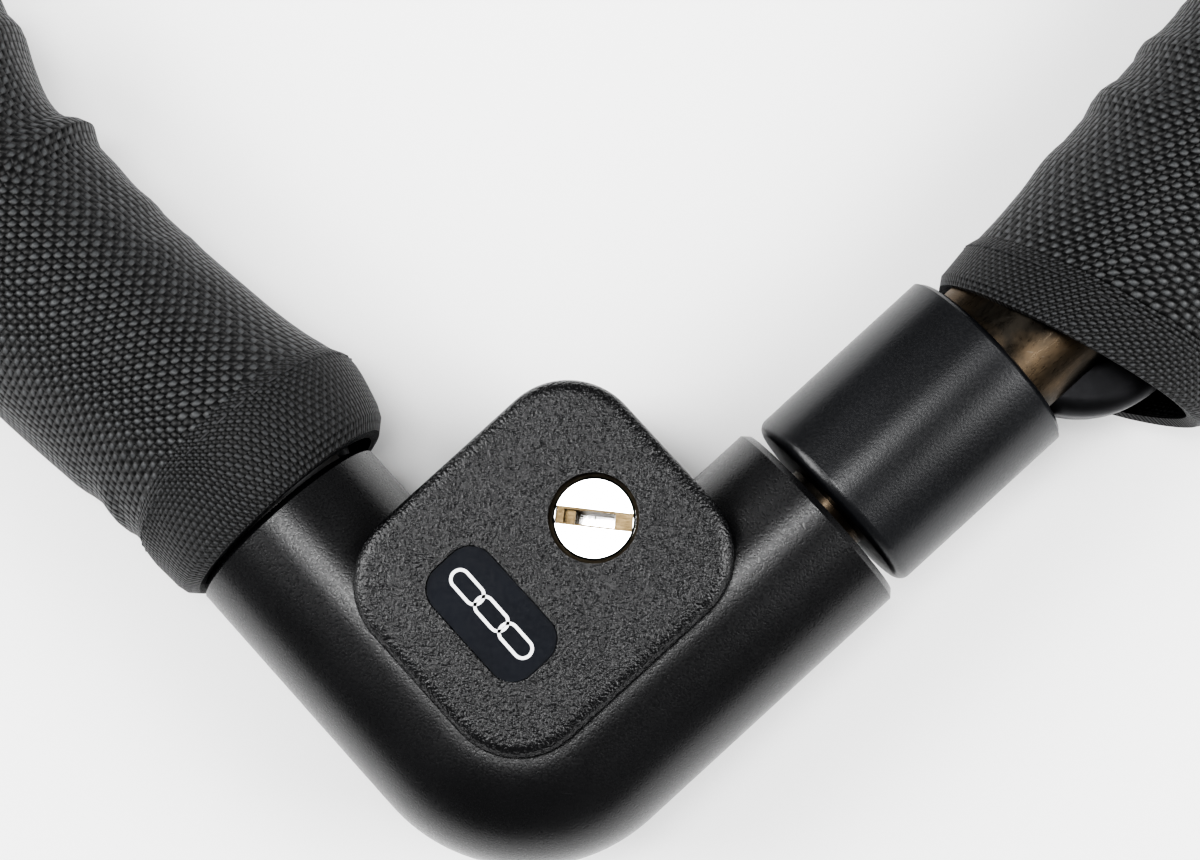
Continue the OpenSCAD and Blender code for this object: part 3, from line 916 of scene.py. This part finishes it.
@dataclass
class Sleeve:
    """The woven sleeve: one cloth tube, cut at the middle of each link.

    hem_start and hem are where the hem on the chain leg begins and ends; mouth_hem is the other
    hem's length. tuck is how far the cloth runs under a hem. bend_reach is not used. The three
    folds are the heights of its slow folds, its drape and the crumples inside a bend. lean, slant
    and droop pull the cloth along at the leg and at the mouth.
    """

    route: Route
    wardrobe: Wardrobe
    half_left: float = 15.6 * MM
    half_right: float = 15.6 * MM
    half_height: float = 15.5 * MM
    cloth: float = 0.8 * MM
    around: int = 96
    ring: float = 1.25 * MM
    thread: float = 1.0 * MM
    hem_start: float = 2.3 * MM
    hem: float = 12.4 * MM
    mouth_hem: float = 7.6 * MM
    tuck: float = 1 * MM
    hem_thread: float = 0.6 * MM
    hem_stand: float = 0.5 * MM
    bend_reach: float = 9 * MM
    slow_fold: float = 0.45 * MM
    drape_fold: float = 0.3 * MM
    crumple_fold: float = 0.9 * MM
    deepest: float = 0.15 * MM
    lean: float = 2.8
    slant: float = 0.21
    droop: float = 3.2
    swells: tuple = (
        Swell(15, 25, right=2.4),
        Swell(11, 5, right=1.6),
        Swell(50, 20, right=1.8),
        Swell(56.5, 1.8, right=1.8),
        Swell(76, 10, right=6.5),
        Swell(18, 24, left=-0.7),
        Swell(62, 14, left=-2.5),
        Swell(56, 16, right=-3.2, from_mouth=True),
        Swell(0, 26, left=5.4, right=-0.4, from_mouth=True),
        Swell(0, 12, height=-2.2, from_mouth=True),
    )

    def outline(self, s: np.ndarray, angle: np.ndarray) -> tuple:
        """Offsets of the cloth from the centre line.

        Args:
            s: distance along the sleeve.
            angle: angle round it, 0 on the left side and a quarter turn on top.

        Returns:
            Offset to the left and offset up.
        """
        left, right, height = self.half_left, self.half_right, self.half_height
        for swell in self.swells:
            along = self.route.length - s if swell.from_mouth else s
            bell = MM * np.exp(-((along / MM - swell.place) / swell.reach) ** 2)
            left = left + swell.left * bell
            right = right + swell.right * bell
            height = height + swell.height * bell
        width = np.where(np.cos(angle) > 0, left, right)
        folds = self.folds(s, angle)
        return (width + folds) * np.cos(angle), (height + np.minimum(folds, 0.3 * MM)) * np.sin(angle)

    def skew(self, s: np.ndarray, angle: np.ndarray) -> np.ndarray:
        """How far the cloth is pulled along the sleeve, which slants its two ends.

        Args:
            s: distance along the sleeve.
            angle: angle round it.

        Returns:
            Shift in metres.
        """
        top, under = np.clip(np.sin(angle), 0, 1), np.clip(-np.sin(angle), 0, 1)
        by_leg = smoothstep(self.hem_start, 9 * MM, s) * (1 - smoothstep(14 * MM, 40 * MM, s))
        by_mouth = smoothstep(self.route.length - 52 * MM, self.route.length - 10 * MM, s)
        aside = np.where(np.cos(angle) > 0, 20.0, 15.0) * np.cos(angle)
        return MM * (self.lean * top * by_leg + (self.droop * under ** 2 - self.slant * aside) * by_mouth)

    def folds(self, s: np.ndarray, angle: np.ndarray) -> np.ndarray:
        """How far the cloth stands proud of a plain tube.

        Args:
            s: distance along the sleeve.
            angle: angle round it.

        Returns:
            Raise in metres, negative where the cloth sinks.
        """
        turn = angle / (2 * math.pi)
        slow = soft_noise(s / (17 * MM), turn * 8, 1) * self.slow_fold
        drape = soft_noise(s / (9 * MM) + turn * 6, turn * 16 % 64, 2) * self.drape_fold
        bend = self.route.curvature(s)
        inside = np.clip(np.cos(angle) * np.sign(bend), 0, 1) * np.clip(np.abs(bend) / 9.0, 0, 1)
        wander = 2.5 * soft_noise(s / (22 * MM), turn * 6, 3)
        crumple = inside * self.crumple_fold * np.sin(2 * math.pi * s / (8.5 * MM) + wander)
        calm = smoothstep(4 * MM, 16 * MM, s) * smoothstep(0, 10 * MM, self.route.length - s)
        return np.maximum(slow + drape + crumple, -self.deepest) * calm

    def surface(self, s: np.ndarray, angle: np.ndarray, inset: float) -> np.ndarray:
        """Points on the cloth.

        Args:
            s: distance along the sleeve.
            angle: angle round it.
            inset: how far inside the outer face.

        Returns:
            Points in metres.
        """
        side, up = self.outline(s, angle)
        shrink = 1 - inset / self.half_left
        at = s + self.skew(s, angle)
        t = self.route.tangent(at)
        left = np.stack([-t[..., 1], t[..., 0], np.zeros_like(at)], -1)
        offset = left * (side * shrink)[..., None] + np.array([0, 0, 1.0]) * (up * shrink)[..., None]
        return self.route.point(at) + offset

    def normals(self, s: np.ndarray, angle: np.ndarray, inset: np.ndarray) -> np.ndarray:
        """Outward unit normals of the cloth, the same on both sides of a cut.

        Args:
            s: distance along the sleeve.
            angle: angle round it.
            inset: how far inside the outer face.

        Returns:
            Unit vectors, one row to a point.
        """
        along = self.surface(s + 0.3 * MM, angle, inset) - self.surface(s - 0.3 * MM, angle, inset)
        round_ = self.surface(s, angle + 0.02, inset) - self.surface(s, angle - 0.02, inset)
        n = np.cross(round_, along)
        return (n / np.linalg.norm(n, axis=-1, keepdims=True)).reshape(-1, 3)

    def tube(self, name: str, start: float, end: float, grow: float = 0.0, thread: Optional[float] = None,
             lip: Callable[[np.ndarray], np.ndarray] = lambda s: 0 * s) -> bpy.types.Object:
        """A closed shell of cloth from one distance to another.

        Args:
            name: the object's name.
            start: where it starts along the sleeve.
            end: where it ends.
            grow: how far its outer face stands off the sleeve's.
            thread: the spacing of its threads.
            lip: extra raise along the sleeve.

        Returns:
            The object, with its thread map.
        """
        thread = thread or self.thread
        rings = max(3, int(round((end - start) / self.ring)) + 1)
        s1 = np.linspace(start, end, rings)
        a1 = np.linspace(0, 2 * math.pi, self.around, endpoint=False)
        s, a = np.meshgrid(s1, a1, indexing="ij")
        raised = grow + lip(s)
        outer = self.surface(s, a, -raised)
        inner = self.surface(s, a, self.cloth - np.minimum(lip(s), 0.0))
        vertices = np.concatenate([outer.reshape(-1, 3), inner.reshape(-1, 3)])
        faces, uvs = [], []
        count = round(2 * math.pi * (self.half_left + self.half_right) / 2 / thread / 2) * 2
        base = rings * self.around

        def uv(i: int, j: int) -> tuple:
            """Thread coordinates of ring i at station j."""
            return (s1[i] / thread, j / self.around * count)

        for i in range(rings - 1):
            for j in range(self.around):
                k = (j + 1) % self.around
                p, q = i * self.around + j, i * self.around + k
                r, t = q + self.around, p + self.around
                faces.append((p, q, r, t))
                uvs += [uv(i, j), uv(i, j + 1), uv(i + 1, j + 1), uv(i + 1, j)]
                faces.append((p + base, t + base, r + base, q + base))
                uvs += [uv(i, j), uv(i + 1, j), uv(i + 1, j + 1), uv(i, j + 1)]
        for i, flip in ((0, True), (rings - 1, False)):
            for j in range(self.around):
                k = (j + 1) % self.around
                p, q = i * self.around + j, i * self.around + k
                face = (p, q, q + base, p + base)
                corners = [uv(i, j), uv(i, j + 1), uv(i, j + 1), uv(i, j)]
                faces.append(face[::-1] if flip else face)
                uvs += corners[::-1] if flip else corners
        made = mesh_object(name, vertices, faces)
        normals = np.concatenate([self.normals(s, a, -raised), -self.normals(s, a, self.cloth)])
        ends = len(made.data.polygons) - 2 * self.around
        made.data.normals_split_custom_set([
            face.normal if face.index >= ends else Vector(normals[v])
            for face in made.data.polygons for v in face.vertices])
        layer = made.data.uv_layers.new(name=THREAD_MAP)
        layer.data.foreach_set("uv", np.array(uvs, np.float32).ravel())
        return made

    def build(self) -> None:
        """Builds the stretches of sleeve, cut at the middle of each link, and the two hems; a stretch that
        spans two links is left where it is built.
        """
        at, pivots = self.route.pivot_at, self.route.pivots
        middles = (at[:-1] + at[1:]) / 2
        cloth = self.wardrobe.get(Finish.SLEEVE)
        links = len(middles)
        spans = [("lock", "link_01", self.hem - self.tuck, middles[0], 0)]
        for i in range(1, links):
            bodies = (f"link_{i:02d}", f"link_{i + 1:02d}")
            if i == links // 2:
                spans += [(bodies[0], None, middles[i - 1], at[i], i),
                          (bodies[1], None, at[i], middles[i], i)]
            else:
                spans.append((*bodies, middles[i - 1], middles[i], i))
        last = self.route.length - self.mouth_hem + self.tuck
        spans.append((f"link_{links:02d}", None, middles[-1], last, links))
        for number, (first, second, start, end, pivot) in enumerate(spans, 1):
            piece = self.tube(f"sleeve_cloth_{number:02d}", start, end)
            dress(piece, cloth)
            if second is None:
                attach(piece, first)
            else:
                reach = self.route.tangent(np.array(at[pivot])) * self.bend_reach
                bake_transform(piece)
            node = f"sleeve_{number if number <= links // 2 else number - 1:02d}"
            if number != links // 2 + 1 and number <= links + 1:
                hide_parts(node)
        log.info("%d stretches of sleeve", len(spans))
        self.hems()

    def hems(self) -> None:
        """The hem clamped over the chain leg and the hem round the open mouth."""
        tape = self.wardrobe.get(Finish.HEM)
        start, end = self.hem_start, self.route.length
        left = self.tube("hem_leg", start, self.hem, self.hem_stand, self.hem_thread,
                         lambda s: -self.roll(s - start, 3.4 * MM, 1.9 * MM)
                         - self.roll(self.hem - s, 1.2 * MM, 0.5 * MM))
        dress(left, tape)
        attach(left, "lock")
        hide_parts("sleeve_hem_left")
        right = self.tube("hem_mouth", end - self.mouth_hem, end, self.hem_stand, self.hem_thread,
                          lambda s: -self.roll(end - s, 1.4 * MM, 0.9 * MM)
                          - self.roll(s - end + self.mouth_hem, 1.2 * MM, 0.5 * MM))
        dress(right, tape)
        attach(right, "link_17")
        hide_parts("sleeve_hem_right")
        for name, body, s in (("stitches_leg", "lock", self.hem - 1.6 * MM),
                              ("stitches_mouth", "link_17", end - self.mouth_hem + 1.6 * MM)):
            piece = self.stitches(name, s)
            dress(piece, self.wardrobe.get(Finish.THREAD))
            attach(piece, body)
        log.info("hems built")

    @staticmethod
    def roll(inside: np.ndarray, length: float, drop: float) -> np.ndarray:
        """The drop of a rounded edge.

        Args:
            inside: distance in from the edge.
            length: how far in the rounding reaches.
            drop: how far the edge itself drops.

        Returns:
            The drop at each distance.
        """
        t = 1 - np.clip(inside / length, 0, 1)
        return drop * (1 - np.sqrt(1 - 0.98 * t * t))

    def stitches(self, name: str, s: float) -> bpy.types.Object:
        """A row of lock stitches round the sleeve.

        Args:
            name: the object's name.
            s: where the row lies along the sleeve.

        Returns:
            The stitches, as one object.
        """
        count, sides, rings = 44, 6, 7
        vertices, faces = [], []
        for n in range(count):
            a = (n + np.linspace(0.12, 0.88, rings)) / count * 2 * math.pi
            bulge = np.sin(np.linspace(0, math.pi, rings))
            for i in range(rings):
                lift = (-0.40 - 0.08 * bulge[i]) * MM
                centre = self.surface(np.array([s]), np.array([a[i]]), np.array([lift]))[0]
                up = centre - self.route.point(np.array([s]))[0]
                up /= np.linalg.norm(up)
                along = self.route.tangent(np.array([s]))[0]
                r = (0.05 + 0.12 * bulge[i]) * MM
                for j in range(sides):
                    b = 2 * math.pi * j / sides
                    vertices.append(centre + r * (math.cos(b) * up + math.sin(b) * along))
            first = n * rings * sides
            faces.append(tuple(first + j for j in range(sides))[::-1])
            for i in range(rings - 1):
                for j in range(sides):
                    k = (j + 1) % sides
                    p = first + i * sides
                    faces.append((p + j, p + k, p + sides + k, p + sides + j))
            faces.append(tuple(first + (rings - 1) * sides + j for j in range(sides)))
        return mesh_object(name, np.array(vertices), faces)


# ---------------------------------------------------------------- main


def main() -> None:
    """Builds the lock's looks round the frame."""
    logging.basicConfig(level=logging.INFO, format="%(name)s: %(message)s")
    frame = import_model()
    Studio().build()
    wardrobe = Wardrobe()
    HardParts(frame["nodes"], wardrobe).build()
    BadgeMark(wardrobe).build()
    Sleeve(Route(frame["joints"]), wardrobe).build()


if __name__ == "__main__":
    main()
